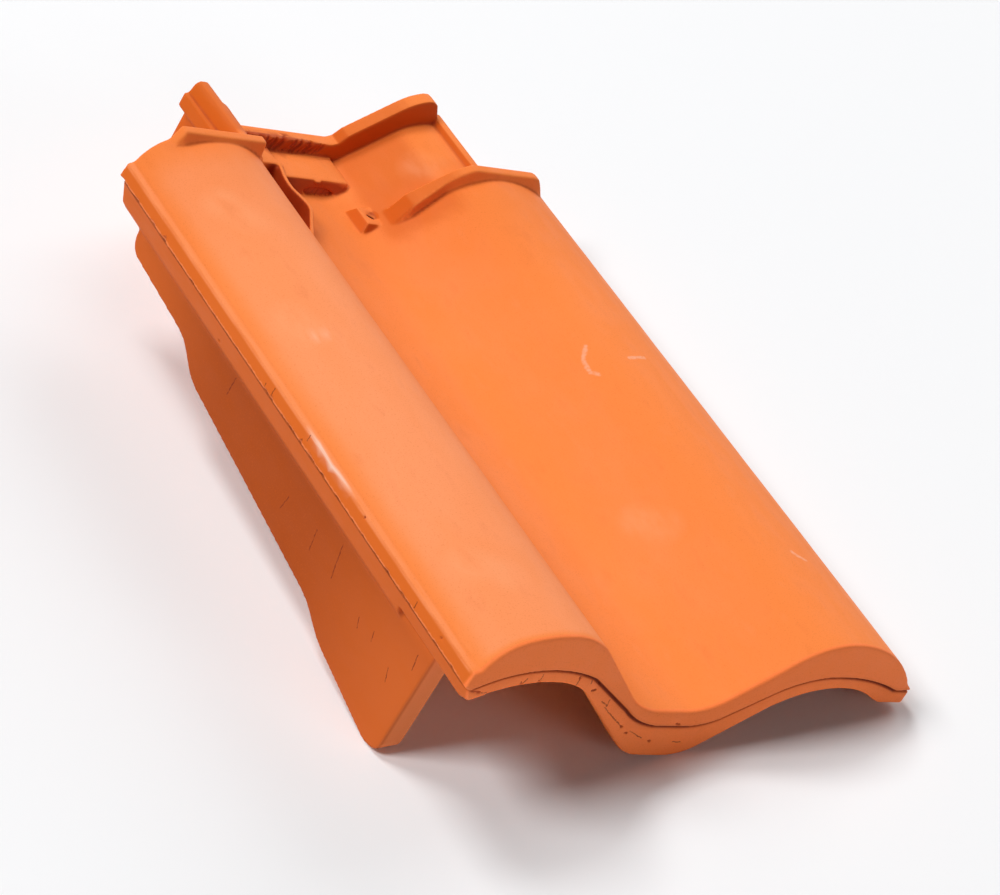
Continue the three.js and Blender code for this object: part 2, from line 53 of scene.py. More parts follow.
def node(tree, kind, inputs=None, **settings):
    """One node, with its settings and with its inputs given as values or as other sockets."""
    made = tree.nodes.new(kind)
    for name, value in settings.items():
        setattr(made, name, value)
    for key, value in (inputs or {}).items():
        socket = made.inputs[key]
        if isinstance(value, bpy.types.NodeSocket):
            tree.links.new(value, socket)
        else:
            socket.default_value = value
    return made


def calc(tree, operation, *values):
    """A Math node; its values are numbers or sockets."""
    return node(tree, "ShaderNodeMath", dict(enumerate(values)), operation=operation).outputs[0]


def blend(tree, factor, under, over):
    """One colour over another by a factor; each is written out or is a socket."""
    inputs = {"Factor": factor}
    for name, colour in (("A", under), ("B", over)):
        inputs[name] = (*colour, 1) if isinstance(colour, tuple) else colour
    return node(tree, "ShaderNodeMix", inputs, data_type="RGBA").outputs["Result"]


def shown_or_lit(tree, shown, lit):
    """One colour for the rays that show a surface, and another for the rays that light the tile."""
    path = node(tree, "ShaderNodeLightPath").outputs
    mirrored = calc(tree, "MAXIMUM", path["Is Glossy Ray"], path["Is Transmission Ray"])
    return blend(tree, calc(tree, "MAXIMUM", path["Is Camera Ray"], mirrored), lit, shown)


table_mesh = bpy.data.meshes.new("table")
corners = [(x * TABLE_REACH, y * TABLE_REACH, 0) for x, y in ((-1, -1), (1, -1), (1, 1), (-1, 1))]
table_mesh.from_pydata(corners, [], [range(len(corners))])
table = bpy.data.objects.new("table", table_mesh)
bpy.context.scene.collection.objects.link(table)

white = bpy.data.materials.new("white table")
white.use_nodes = True
shader = white.node_tree.nodes["Principled BSDF"]
shader.inputs["Roughness"].default_value = 0.9
shader.inputs["Specular IOR Level"].default_value = 0.1
table_colour = shown_or_lit(white.node_tree, TABLE_SHOWN, TABLE_LIT)
white.node_tree.links.new(table_colour, shader.inputs["Base Color"])
table_mesh.materials.append(white)

room = bpy.data.worlds.new("white room")
bpy.context.scene.world = room
room.use_nodes = True
sky = room.node_tree.nodes["Background"]
sky_colour = shown_or_lit(room.node_tree, ROOM_SHOWN, ROOM_LIT)
room.node_tree.links.new(sky_colour, sky.inputs["Color"])


LAMP_DISTANCE = 12.0  # in metres
TILE_MIDDLE = Vector((0, 0, 0.05))


def softbox(name, turn, height, size, strength):
    """A square lamp that faces the tile: degrees round from the head end, degrees up, metres across.

    A strength of 1 would light a white face that is turned to the lamp to full white.
    """
    turn = math.radians(turn)
    height = math.radians(height)
    flat = math.cos(height)
    facing = Vector((math.sin(turn) * flat, math.cos(turn) * flat, math.sin(height)))
    light = bpy.data.lights.new(name, "AREA")
    light.shape = "SQUARE"
    light.size = size
    light.energy = strength * (math.pi * LAMP_DISTANCE) ** 2
    lamp = bpy.data.objects.new(name, light)
    aim = (-facing).to_track_quat("-Z", "Y").to_matrix().to_4x4()
    lamp.matrix_world = Matrix.Translation(TILE_MIDDLE + facing * LAMP_DISTANCE) @ aim
    bpy.context.scene.collection.objects.link(lamp)


softbox("left softbox", turn=-75, height=48, size=4.0, strength=0.60)
softbox("back softbox", turn=-20, height=56, size=3.6, strength=0.42)
softbox("right softbox", turn=60, height=33, size=8.0, strength=0.38)
softbox("front softbox", turn=155, height=13, size=6.0, strength=0.19)

CAMERA_PLACE = Vector((-1.10428, -1.24547, 1.30628))  # in metres
CAMERA_TURN = (50.4882, -15.9562, -29.4741)  # in degrees about X, then Y, then Z

camera_data = bpy.data.cameras.new("camera")
camera_data.sensor_width = 36
camera_data.lens = 137.54
camera_data.clip_end = 50
camera = bpy.data.objects.new("camera", camera_data)
camera_aim = Euler([math.radians(angle) for angle in CAMERA_TURN]).to_matrix().to_4x4()
camera.matrix_world = Matrix.Translation(CAMERA_PLACE) @ camera_aim
bpy.context.scene.collection.objects.link(camera)
bpy.context.scene.camera = camera
bpy.context.scene.view_settings.view_transform = "Standard"


# ---- The verge tile ----
# One piece of red clay, pressed between two moulds that part along its edges, then dried and fired
# without a glaze, so its edges are soft, and torn and cracked in places. Its nibs hook over a roof
# batten, but here it lies loose on the floor, propped by its flap.

# The clay is worked in millimetres on the tile's own axes: X across from the lip, Y along from the
# nose, and Z up from the lip's top edge.
MM = 0.001
LEAN = math.radians(13.8)  # the flap props the left side up
CORNER = Vector((-147.663, -233.5, 93.114))  # front left corner of the top, on the floor's axes, in mm
to_floor = Matrix.Scale(MM, 4) @ Matrix.Translation(CORNER) @ Matrix.Rotation(LEAN, 4, "Y")
VOXEL = 0.6  # the size of the even faces that are worked
SHARE_KEPT = 0.068  # of those faces, once the work is done
BODY_LENGTH = 404.0  # from the nose to the head deck

# Where the moulds leave fine detail: the lip's side, the top of the fin and of the strip, and the
# groove across the nose, where the two moulds met.
LIP_SIDE = 0.0
FIN_TOP = -12.0
GROOVE_BACK = 3.5
ON_PLANE = 0.01  # a corner this near a plane lies on it
SAME_CORNER = 0.002  # corners this near each other are one
FINE_REACH = (0.8, 4.0)  # up to the first distance from a fine line, edges stay crisp
FINE_SOFTNESS = (0.15, 0.7)  # and from the second on, they are fully soft

blank = bmesh.new()
blank.from_mesh(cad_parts["verge_tile"].data)
blank.transform(to_floor.inverted())
bmesh.ops.remove_doubles(blank, verts=blank.verts, dist=SAME_CORNER)


def is_fine(corner):
    return corner.co.x < LIP_SIDE + ON_PLANE or abs(corner.co.z - FIN_TOP) < ON_PLANE


def in_groove(corner):
    return abs(corner.co.y - GROOVE_BACK) < ON_PLANE


def wire(name, lines):
    """A temporary drawing of straight lines, which the clay is worked along."""
    points = [point for line in lines for point in line]
    drawing = bpy.data.objects.new(name, bpy.data.meshes.new(name))
    drawing.data.from_pydata(points, [(i, i + 1) for i in range(0, len(points), 2)], [])
    bpy.context.scene.collection.objects.link(drawing)
    return drawing


def edges_where(test):
    """The straight edges of the pressing whose two ends pass a test."""
    pairs = [edge.verts for edge in blank.edges if all(test(corner) for corner in edge.verts)]
    return [[corner.co[:] for corner in pair] for pair in pairs]


fine_lines = wire("fine lines", edges_where(is_fine))
groove_lines = wire("groove lines", edges_where(in_groove))

clay_mesh = bpy.data.meshes.new("fired tile")
blank.to_mesh(clay_mesh)
blank.free()
tile = bpy.data.objects.new("fired_tile", clay_mesh)
bpy.context.scene.collection.objects.link(tile)

# Cracks and pits, as lines from point to point.
BAND = 1.3  # Y of the face of the nose's lower band
FLAP = 13.0  # X of the flap's outer face
HAIRLINES = [
    # the nose's lower band
    [(32.4, BAND, -3.6), (33.9, BAND, -6.6)],
    [(35.2, BAND, -1.4), (34.0, BAND, -5.8)],
    [(44.1, BAND, 1.2), (44.4, BAND, -3.0)],
    [(69.9, BAND, 0.2), (70.3, BAND, -6.2)],
    [(78.8, BAND, -1.4), (79.4, BAND, -4.2)],
    [(95.0, BAND, -16.4), (100.3, BAND, -19.4)],
    [(99.6, BAND, -15.2), (100.3, BAND, -19.4)],
    [(99.6, BAND, -20.6), (105.0, BAND, -24.4)],
    [(105.0, BAND, -24.4), (110.2, BAND, -27.8)],
    [(110.2, BAND, -27.8), (119.4, BAND, -33.6)],
    [(127.9, BAND, -36.8), (134.0, BAND, -39.7)],
    [(134.0, BAND, -39.7), (139.0, BAND, -41.8)],
    [(163.0, BAND, -44.6), (168.7, BAND, -44.6)],
    # the corner where the band meets the end of the strip
    [(5.2, BAND, -10.6), (14.5, BAND, -11.6)],
    # the lip's side
    [(-1.3, 217.0, -7.9), (-0.4, 217.8, -2.7)],
    [(-0.9, 224.9, -5.4), (-1.2, 224.5, -7.4)],
    [(-0.7, 178.6, -4.5), (-0.2, 178.9, -1.3)],
    [(-1.3, 182.5, -8.0), (-1.1, 181.5, -6.2)],
    [(-1.2, 56.4, -6.8), (-0.6, 57.2, -3.6)],
    # the flap
    [(FLAP, 260.6, -30.9), (FLAP, 260.5, -42.0)],
    [(FLAP, 184.0, -54.6), (FLAP, 182.5, -45.5)],
    [(FLAP, 150.8, -53.8), (FLAP, 153.2, -42.1)],
    [(FLAP, 127.5, -51.9), (FLAP, 132.2, -33.4)],
    [(FLAP, 81.6, -52.7), (FLAP, 83.1, -47.9)],
    [(FLAP, 94.3, -55.6), (FLAP, 97.0, -50.6)],
    [(FLAP, 59.1, -59.7), (FLAP, 62.4, -53.1)],
    [(FLAP, 48.2, -41.0), (FLAP, 50.2, -32.5)],
]
PITS = [
    [(33.2, BAND, -5.0), (33.8, BAND, -6.2)],
    [(44.1, BAND, -3.0), (44.6, BAND, -5.0)],
    [(69.8, BAND, 0.0), (70.0, BAND, -1.0)],
    [(85.6, BAND, -4.8), (86.2, BAND, -5.4)],
    [(83.6, BAND, -9.1), (85.4, BAND, -8.5)],
    [(119.4, BAND, -33.7), (120.5, BAND, -34.2)],
    [(125.6, BAND, -38.3), (126.6, BAND, -38.6)],
    [(145.6, BAND, -43.8), (146.6, BAND, -44.2)],
    [(156.4, 0.3, -30.9), (158.4, 0.3, -31.3)],
    [(4.8, BAND, -10.7), (10.0, BAND, -11.2)],  # where the strip's end parted from the band
    [(-0.3, 117.3, -1.6), (-0.3, 116.9, -1.3)],
    [(-0.6, 31.8, -3.9), (-0.6, 31.5, -3.6)],
    [(7.9, 281.0, -22.5), (7.9, 280.0, -22.5)],
]
# Pale scuffs, as wider and fainter lines.
SCUFFS = [
    [(226.5, 251.0, 18.8), (221.0, 242.4, 15.4)],
    [(221.0, 242.4, 15.4), (220.2, 232.6, 14.9)],
    [(220.2, 232.6, 14.9), (223.0, 228.5, 16.6)],
    [(245.5, 235.5, 24.9), (250.6, 235.8, 25.4)],
    [(250.6, 235.8, 25.4), (257.5, 236.6, 25.3)],
    [(256.3, 75.0, 25.4), (258.5, 72.0, 25.3)],
    [(258.5, 72.0, 25.3), (263.0, 69.5, 25.0)],
]
# Soft paler patches, painted as highlights: three on the left roll, one on the right roll's flank, and
# one on the head deck.
PATCHES = [
    [(22.0, 346.0, 21.5), (31.0, 328.0, 24.0)],
    [(16.0, 252.0, 18.5), (19.0, 238.0, 20.0)],
    [(20.0, 60.0, 20.5), (34.0, 48.0, 24.5)],
    [(199.0, 128.0, -2.8), (204.0, 118.0, 3.0)],
    [(214.0, 425.0, 10.5), (217.0, 421.0, 12.0)],
]
pits = wire("pits", PITS)

# Small places where clay is torn out or pushed: middle, reach in X, Y and Z, and the shift.
CHIPS = [
    [(-1.3, 361.0, -8.0), (2.0, 4.0, 1.6), (0, 0, 1.0)],  # the lip's lower edge
    [(-1.3, 347.5, -8.0), (2.0, 2.5, 1.8), (0, 0, 1.4)],
    [(-1.3, 343.0, -8.0), (2.0, 2.5, 1.6), (0, 0, -0.7)],
    [(-1.3, 216.0, -8.0), (2.0, 2.2, 1.8), (0, 0, 1.3)],
    [(-1.3, 182.0, -8.0), (2.0, 1.8, 1.5), (0, 0, 1.1)],
    [(-1.3, 171.0, -8.0), (2.0, 2.5, 1.4), (0, 0, 0.9)],
    [(157.0, 431.5, -14.5), (3.2, 3.0, 2.6), (0, -1.2, -0.4)],  # a nodule on the plateau's edge
    [(182.3, 404.5, -15.5), (5.2, 5.2, 2.4), (0, 0, -0.7)],  # the dish round the nail slit
]
CHIP_FADE = 0.6

# Places that are shaped or coloured in their own way: middle, and reach in X, Y and Z.
NAIL_SLIT = (182.2, 404.5, -17.0), (4.6, 4.6, 5.5)
NAIL_BOSS = (182, 404, -19), (19, 19, 12)
RIM_FACE = (128, 457, -8.5), (50, 4.5, 9.0)  # the inner face of the head rim
PLATEAU = (155, 429.5, -19), (30, 6, 7)
HOLLOW = (159.5, 428.5, -21.3), (12.0, 5.0, 3.4)  # torn out at the foot of the plateau
SCRATCHES = (27.0, 234.0, 22.0), (15.0, 5.5, 6.0)
CHALK_MIDDLE = 156.0  # along the lip
FLAP_MIDDLE = 215.0  # along the tile
FIN_START = (114.0, 365.0)  # the fin's nose end
FIN_SLANT = 0.256  # how far it moves across for each millimetre along
FIN_SPAN = (360.0, 368.0), (446.0, 441.0)  # along: where its two ends fade in and out
NOSE_BACK = 4.2  # along: where the nose's faces end


def arrow(tree, operation, *values, scale=None):
    """A Vector Math node; it gives a number for a length, a distance or a dot product."""
    inputs = dict(enumerate(values))
    if scale is not None:
        inputs["Scale"] = scale
    outputs = node(tree, "ShaderNodeVectorMath", inputs, operation=operation).outputs
    return outputs["Value" if operation in ("LENGTH", "DISTANCE", "DOT_PRODUCT") else "Vector"]


def ramp(tree, value, low, high, to_low=0.0, to_high=1.0):
    """A value between two limits, spread smoothly over two others."""
    inputs = {"Value": value, "From Min": low, "From Max": high, "To Min": to_low, "To Max": to_high}
    made = node(tree, "ShaderNodeMapRange", inputs, interpolation_type="SMOOTHSTEP")
    return made.outputs["Result"]


def spans(tree, value, limits):
    """The two ramps of a stretch that fades in over one pair of limits and out over another."""
    return [ramp(tree, value, *pair) for pair in limits]


def noise(tree, place, size, detail=2.0):
    """Noise from 0 to 1 with features of this size, in the place's own unit."""
    inputs = {"Vector": place, "Scale": 1 / size, "Detail": detail}
    return node(tree, "ShaderNodeTexNoise", inputs).outputs["Fac"]


def within(tree, place, middle, reach, fade=0.3):
    """A mask that is 1 inside an egg shape and fades to 0 at its edge."""
    inside = arrow(tree, "LENGTH", arrow(tree, "DIVIDE", arrow(tree, "SUBTRACT", place, middle), reach))
    return ramp(tree, inside, 1.0, 1.0 - fade)


def product(tree, *values):
    """Several values multiplied together."""
    total = values[0]
    for value in values[1:]:
        total = calc(tree, "MULTIPLY", total, value)
    return total


# The working of the clay, from the sharp pressing to the fired surface.
work = bpy.data.node_groups.new("dry, tear and fire", "GeometryNodeTree")
work.interface.new_socket("Geometry", in_out="INPUT", socket_type="NodeSocketGeometry")
work.interface.new_socket("Geometry", in_out="OUTPUT", socket_type="NodeSocketGeometry")
for name, kind, value in (
    ("Fine Lines", "NodeSocketObject", None),
    ("Groove Lines", "NodeSocketObject", None),
    ("Pits", "NodeSocketObject", None),
    ("Clay", "NodeSocketMaterial", None),
    ("Edge Softness", "NodeSocketInt", 7),
    ("Swell Height", "NodeSocketFloat", 0.3),
    ("Swell Size", "NodeSocketFloat", 45.0),
    ("Torn Depth", "NodeSocketFloat", 1.2),
    ("Hollow Depth", "NodeSocketFloat", 2.4),
    ("Ragged Height", "NodeSocketFloat", 0.9),
    ("Pit Depth", "NodeSocketFloat", 0.7),
    ("Groove Depth", "NodeSocketFloat", 1.6),
):
    socket = work.interface.new_socket(name, in_out="INPUT", socket_type=kind)
    if value is not None:
        socket.default_value = value
given = work.nodes.new("NodeGroupInput").outputs
result = work.nodes.new("NodeGroupOutput").inputs

place = node(work, "GeometryNodeInputPosition").outputs[0]
normal = node(work, "GeometryNodeInputNormal").outputs[0]
across, along, up = node(work, "ShaderNodeSeparateXYZ", {0: place}).outputs


def distance_to(drawing, seen_from=place):
    """How far each place is from the nearest line of a drawing."""
    lines = node(work, "GeometryNodeObjectInfo", {"Object": given[drawing]}).outputs["Geometry"]
    inputs = {"Geometry": lines, "Sample Position": seen_from}
    return node(work, "GeometryNodeProximity", inputs, target_element="EDGES").outputs["Distance"]


def smeared(value, rounds, weight):
    """A vector evened out with its neighbours, which rounds the edges of a shape."""
    inputs = {"Value": value, "Iterations": rounds, "Weight": weight}
    return node(work, "GeometryNodeBlurAttribute", inputs, data_type="FLOAT_VECTOR").outputs[0]


def moved(geometry, **inputs):
    """The clay with its surface set to a Position or shifted by an Offset."""
    return node(work, "GeometryNodeSetPosition", {"Geometry": geometry, **inputs}).outputs[0]


def kept(geometry, name, value):
    """The clay with a value stored on its surface for the finish."""
    inputs = {"Geometry": geometry, "Name": name, "Value": value}
    return node(work, "GeometryNodeStoreNamedAttribute", inputs, data_type="FLOAT").outputs[0]


softness = ramp(work, distance_to("Fine Lines"), *FINE_REACH, *FINE_SOFTNESS)
slit = within(work, place, *NAIL_SLIT, 0.2)
softness = product(work, softness, calc(work, "SUBTRACT", 1.0, calc(work, "MULTIPLY", slit, 0.85)))
soft = moved(given["Geometry"], Position=smeared(place, given["Edge Softness"], softness))

# The two moulds met along the nose, and left a groove with a soft lip under it.
on_nose = ramp(work, along, NOSE_BACK, 3.4)
flattened = node(work, "ShaderNodeCombineXYZ", {"X": across, "Y": GROOVE_BACK, "Z": up}).outputs[0]
groove_distance = distance_to("Groove Lines", flattened)
groove = product(work, on_nose, ramp(work, groove_distance, 1.25, 0.55))

# The head rim is torn along its inner face, in slanting strokes.
torn_face = within(work, place, *RIM_FACE, 0.2)
slant = {"Vector": place, "Angle": math.radians(-35)}
slanted = node(work, "ShaderNodeVectorRotate", slant, rotation_type="Y_AXIS").outputs[0]
strokes = noise(work, arrow(work, "MULTIPLY", slanted, (1.0, 0.3, 0.12)), 1.7, 4.0)
torn = product(work, torn_face, ramp(work, strokes, 0.42, 0.62))

# An oval of clay is torn out at the foot of the plateau.
hollow = within(work, place, *HOLLOW, 0.2)
hollow_face = product(work, hollow, ramp(work, strokes, 0.2, 0.8, 0.75, 1.15))

# The lip's lower edge is ragged.
lip_foot = product(work, ramp(work, across, 2.5, 0.0), ramp(work, up, -4.5, -7.6))
lip_foot = product(work, lip_foot, ramp(work, up, -10.8, -9.4))
crumbs = noise(work, arrow(work, "MULTIPLY", place, (0.2, 1.0, 0.2)), 9.0, 6.0)
ragged = product(work, lip_foot, ramp(work, crumbs, 0.48, 0.7, -0.2, 1.0))

pit = ramp(work, distance_to("Pits"), 1.0, 0.4)
waves = {"Vector": place, "Scale": calc(work, "DIVIDE", 1.0, given["Swell Size"]), "Detail": 2.0}
swell = calc(work, "SUBTRACT", node(work, "ShaderNodeTexNoise", waves).outputs["Fac"], 0.5)

BACKWARDS = (0, 1, 0)  # towards the head end
UPWARDS = (0, 0, 1)
shifts = [
    arrow(work, "SCALE", normal, scale=product(work, swell, given["Swell Height"])),
    arrow(work, "SCALE", normal, scale=product(work, pit, given["Pit Depth"], -1.0)),
    arrow(work, "SCALE", BACKWARDS, scale=product(work, groove, given["Groove Depth"])),
    arrow(work, "SCALE", BACKWARDS, scale=product(work, torn, given["Torn Depth"])),
    arrow(work, "SCALE", BACKWARDS, scale=product(work, hollow_face, given["Hollow Depth"])),
    arrow(work, "SCALE", UPWARDS, scale=product(work, ragged, given["Ragged Height"])),
]
for middle, reach, shift in CHIPS:
    shifts.append(arrow(work, "SCALE", shift, scale=within(work, place, middle, reach, CHIP_FADE)))
total = shifts[0]
for shift in shifts[1:]:
    total = arrow(work, "ADD", total, shift)
shaped = moved(soft, Offset=total)

# What the finish needs to know about each place begins with chalky wear, edges and creases.
chalk_line = product(
    work,
    ramp(work, calc(work, "ABSOLUTE", calc(work, "SUBTRACT", along, CHALK_MIDDLE)), 26.0, 12.0),
    ramp(work, arrow(work, "LENGTH", arrow(work, "MULTIPLY", place, (1, 0, 1))), 1.9, 0.5),
    ramp(work, noise(work, place, 1.8, 3.0), 0.42, 0.56),
)
scratch_patch = within(work, place, *SCRATCHES, 0.7)
scratches = noise(work, arrow(work, "MULTIPLY", place, (0.3, 1.0, 0.3)), 1.4, 3.0)
scratched = product(work, scratch_patch, ramp(work, scratches, 0.56, 0.66, 0.0, 0.6))
worn = calc(work, "MAXIMUM", chalk_line, scratched)
# Edges are painted paler, as highlights, and creases darker, as shade.
edge = arrow(work, "DOT_PRODUCT", arrow(work, "SUBTRACT", place, smeared(place, 24, 1.0)), normal)
fine_edge = arrow(work, "DOT_PRODUCT", arrow(work, "SUBTRACT", place, smeared(place, 6, 1.0)), normal)
wide_crease = ramp(work, edge, -0.12, -0.9, 0.0, 0.85)
crease = calc(work, "MAXIMUM", wide_crease, ramp(work, fine_edge, -0.03, -0.2))
# The nose's upper face is painted darker just above the groove, as shade.
shade_above_groove = product(work, on_nose, ramp(work, groove_distance, 3.2, 0.9, 0.0, 0.3))
crease = calc(work, "MAXIMUM", crease, shade_above_groove)

# Shade painted into the clay. These faces are the same clay as the rest, but they are coloured as if
# they lay in shade, under any lamp: the fin's sides, the plateau's front, and some faces at the head
# end that point left or to the nose.
past_fin_start = calc(work, "SUBTRACT", along, FIN_START[1])
fin_line = calc(work, "MULTIPLY_ADD", past_fin_start, FIN_SLANT, FIN_START[0])
fin_gap = calc(work, "ABSOLUTE", calc(work, "SUBTRACT", across, fin_line))
facing = node(work, "ShaderNodeSeparateXYZ", {0: normal}).outputs
upright = ramp(work, calc(work, "ABSOLUTE", facing["Z"]), 0.75, 0.45)
fin_face = product(work, ramp(work, fin_gap, 11.0, 8.0), ramp(work, up, -11.8, -12.8), upright)
fin_face = product(work, fin_face, *spans(work, along, FIN_SPAN))
plateau = within(work, place, *PLATEAU, 0.15)
front_face = product(work, ramp(work, facing["Y"], -0.4, -0.8), plateau)
boss = within(work, place, *NAIL_BOSS, 0.1)
boss_or_rim = calc(work, "MAXIMUM", boss, ramp(work, along, 440.0, 450.0))
facing_nose = product(work, ramp(work, facing["Y"], -0.35, -0.75), boss_or_rim)
past_roll = ramp(work, across, 104.0, 108.0)
beyond = calc(work, "MAXIMUM", past_roll, ramp(work, along, BODY_LENGTH - 1, BODY_LENGTH + 1))
facing_left = product(work, ramp(work, facing["X"], -0.45, -0.8), ramp(work, along, 376.0, 384.0), beyond)
turned = calc(work, "MAXIMUM", facing_left, facing_nose)
shaded_face = calc(work, "MAXIMUM", fin_face, product(work, front_face, 0.9))
shaded_face = calc(work, "MAXIMUM", shaded_face, product(work, facing_nose, 0.35))

# The nail slit and the groove are painted dark, as shade, and the fin's sides a little. The flap's end is
# painted a touch paler, as a highlight. The rim is torn, and its inner face is painted dark all over, as
# shade, darker still in the torn strokes.
dark = calc(work, "MAXIMUM", product(work, slit, ramp(work, up, -15.9, -16.6)), groove)
dark = calc(work, "MAXIMUM", dark, product(work, fin_face, 0.35))
flap_end = product(work, ramp(work, facing["Y"], -0.4, -0.8), ramp(work, across, 30.0, 27.0))
flap_end = product(work, flap_end, ramp(work, up, -14.0, -18.0))
chalk = calc(work, "MAXIMUM", worn, product(work, flap_end, 0.02))
torn_and_shade_colour = product(work, torn_face, ramp(work, strokes, 0.35, 0.6, 0.78, 1.0))
torn_and_shade_colour = calc(work, "MAXIMUM", torn_and_shade_colour, shaded_face)

finished = shaped
for name, value in (
    ("dark", dark),
    ("chalk", chalk),
    ("torn", torn_and_shade_colour),
    ("edge", edge),
    ("crease", crease),
    ("turned", turned),
):
    finished = kept(finished, name, value)
inputs = {"Geometry": finished, "Shade Smooth": True}
finished = node(work, "GeometryNodeSetShadeSmooth", inputs).outputs[0]
finished = node(work, "GeometryNodeRealizeInstances", {"Geometry": finished}).outputs[0]
inputs = {"Geometry": finished, "Material": given["Clay"]}
finished = node(work, "GeometryNodeSetMaterial", inputs).outputs[0]
work.links.new(finished, result["Geometry"])


# The fired clay: orange red, paler and pinker in patches, with a fine sandy grain, darker cracks and torn
# places, and chalky wear on the lip. Light and shade are painted into it too: sheen on the left roll,
# highlights on edges and in the patches, and shade on the sides, at the head end, in creases and
# openings.
fired_clay = bpy.data.materials.new("fired red clay")
fired_clay.use_nodes = True
clay = fired_clay.node_tree
surface = clay.nodes["Principled BSDF"]
surface.inputs["Specular IOR Level"].default_value = 0.15

on_floor = node(clay, "ShaderNodeTexCoord").outputs["Object"]
to_tile = {
    "Vector": on_floor,
    "Location": -(Matrix.Rotation(-LEAN, 3, "Y") @ CORNER),
    "Rotation": (0, -LEAN, 0),
    "Scale": (1 / MM, 1 / MM, 1 / MM),
}
on_tile = node(clay, "ShaderNodeMapping", to_tile).outputs["Vector"]
tile_across, tile_along, tile_up = node(clay, "ShaderNodeSeparateXYZ", {0: on_tile}).outputs


def stored(name):
    """A value that the working of the clay left on the surface."""
    return node(clay, "ShaderNodeAttribute", attribute_name=name).outputs["Fac"]


ORANGE = (0.93, 0.236, 0.046)  # the main colour
PALE = (0.95, 0.302, 0.115)  # painted sheen on the left roll, painted highlights on edges, paler clouds
NOSE = (0.97, 0.210, 0.050)  # the faces of the nose
DEEP = (0.64, 0.112, 0.005)  # darker grains, and painted shade
SHADED = (0.40, 0.066, 0.005)  # deeper painted shade, on the flap
TORN = (0.38, 0.040, 0.005)  # torn clay, and painted shade in creases and at the head end
DARK = (0.17, 0.020, 0.003)  # cracks, pits, and painted shade in the groove, the slit and the lip's crack
PAINTED_HIGHLIGHT = (0.95, 0.40, 0.20)  # the soft patches, painted as highlights
CHALK = (0.95, 0.74, 0.62)  # chalky wear, scuffs and scratches

CLOUD_SIZE = 60.0
MOTTLE_SIZE = 9.0
GRAIN_SIZE = 0.8
GRAIN_HEIGHT = 0.05
ROLL_ACROSS = (2.0, 9.0), (88.0, 62.0)  # where the painted sheen on the left roll fades in and out
ROLL_ALONG = (3.0, 8.0), (400.0, 370.0)

lengthways = arrow(clay, "MULTIPLY", on_tile, (1.0, 0.4, 1.0))
clouds = noise(clay, lengthways, CLOUD_SIZE, 3.0)
mottle = noise(clay, lengthways, MOTTLE_SIZE, 4.0)
grain = noise(clay, on_tile, GRAIN_SIZE, 3.0)

on_roll = product(clay, *spans(clay, tile_across, ROLL_ACROSS))
on_roll = product(clay, on_roll, *spans(clay, tile_along, ROLL_ALONG))
# The left roll is painted paler all over, as sheen, on top of paler clouds at random.
sheen_and_clouds = calc(clay, "MULTIPLY_ADD", on_roll, 0.75, ramp(clay, clouds, 0.45, 0.75, 0.0, 0.3))
colour = blend(clay, sheen_and_clouds, ORANGE, PALE)
colour = blend(clay, ramp(clay, mottle, 0.55, 0.8, 0.0, 0.22), colour, PALE)
colour = blend(clay, ramp(clay, mottle, 0.45, 0.2, 0.0, 0.16), colour, DEEP)
colour = blend(clay, ramp(clay, tile_along, NOSE_BACK, 3.0, 0.0, 0.85), colour, NOSE)

# More painted shade: the lip's side, the strip and the flap, the ridge, and the head end as a whole.
on_side = calc(clay, "MAXIMUM", ramp(clay, tile_across, 0.6, -0.4), ramp(clay, tile_up, -9.0, -12.0))
on_side = product(clay, on_side, ramp(clay, tile_across, 28.0, 24.0), ramp(clay, tile_along, 2.0, 4.5))
on_side = product(clay, on_side, ramp(clay, tile_across, 16.0, 13.8, 0.6, 1.0))
colour = blend(clay, calc(clay, "MULTIPLY", on_side, 0.85), colour, DEEP)
on_flap = product(clay, on_side, ramp(clay, tile_up, -22.0, -32.0), ramp(clay, tile_across, 16.0, 14.0))
from_middle = calc(clay, "ABSOLUTE", calc(clay, "SUBTRACT", tile_along, FLAP_MIDDLE))
near_middle = ramp(clay, from_middle, 190.0, 40.0, 0.25, 1.0)
colour = blend(clay, product(clay, on_flap, near_middle), colour, SHADED)
at_head = ramp(clay, tile_along, 280.0, 400.0, 0.0, 0.22)
at_head = product(clay, at_head, ramp(clay, tile_along, 418.0, 428.0, 1.0, 0.4))
colour = blend(clay, at_head, colour, DEEP)
on_ridge = product(clay, ramp(clay, tile_across, 96.0, 88.0), ramp(clay, tile_along, 418.0, 424.0))
colour = blend(clay, calc(clay, "MULTIPLY", on_ridge, 0.7), colour, DEEP)
colour = blend(clay, stored("turned"), colour, DEEP)

# The lip's top edge is paler in long streaks.
on_lip = product(clay, ramp(clay, tile_up, -2.5, -1.0), ramp(clay, tile_along, 3.0, 8.0))
lip_edge = product(clay, on_lip, ramp(clay, tile_across, 3.0, 1.8))
streaks = noise(clay, arrow(clay, "MULTIPLY", on_tile, (1.0, 0.1, 1.0)), 3.0, 2.0)
pale_streaks = ramp(clay, streaks, 0.35, 0.6, 0.3, 0.6)
colour = blend(clay, product(clay, lip_edge, pale_streaks), colour, PALE)

# The lip parted from the strip under it in a ragged crack, painted dark as the shade in it, with a pale
# broken edge above.
PARTED = (-8.1, -8.7), (-13.1, -12.5)  # from the top of the crack down to its foot
BROKEN = (-6.9, -7.6), (-8.6, -8.1)  # the pale edge above it
crumble = noise(clay, arrow(clay, "MULTIPLY", on_tile, (0.3, 1.0, 0.3)), 3.0, 4.0)
crumbled = calc(clay, "MULTIPLY_ADD", calc(clay, "SUBTRACT", crumble, 0.5), 2.0, tile_up)
beside = product(clay, ramp(clay, tile_across, 6.5, 5.5), ramp(clay, tile_along, 3.0, 12.0))
parted = product(clay, beside, *spans(clay, crumbled, PARTED))
broken = product(clay, beside, *spans(clay, crumbled, BROKEN))
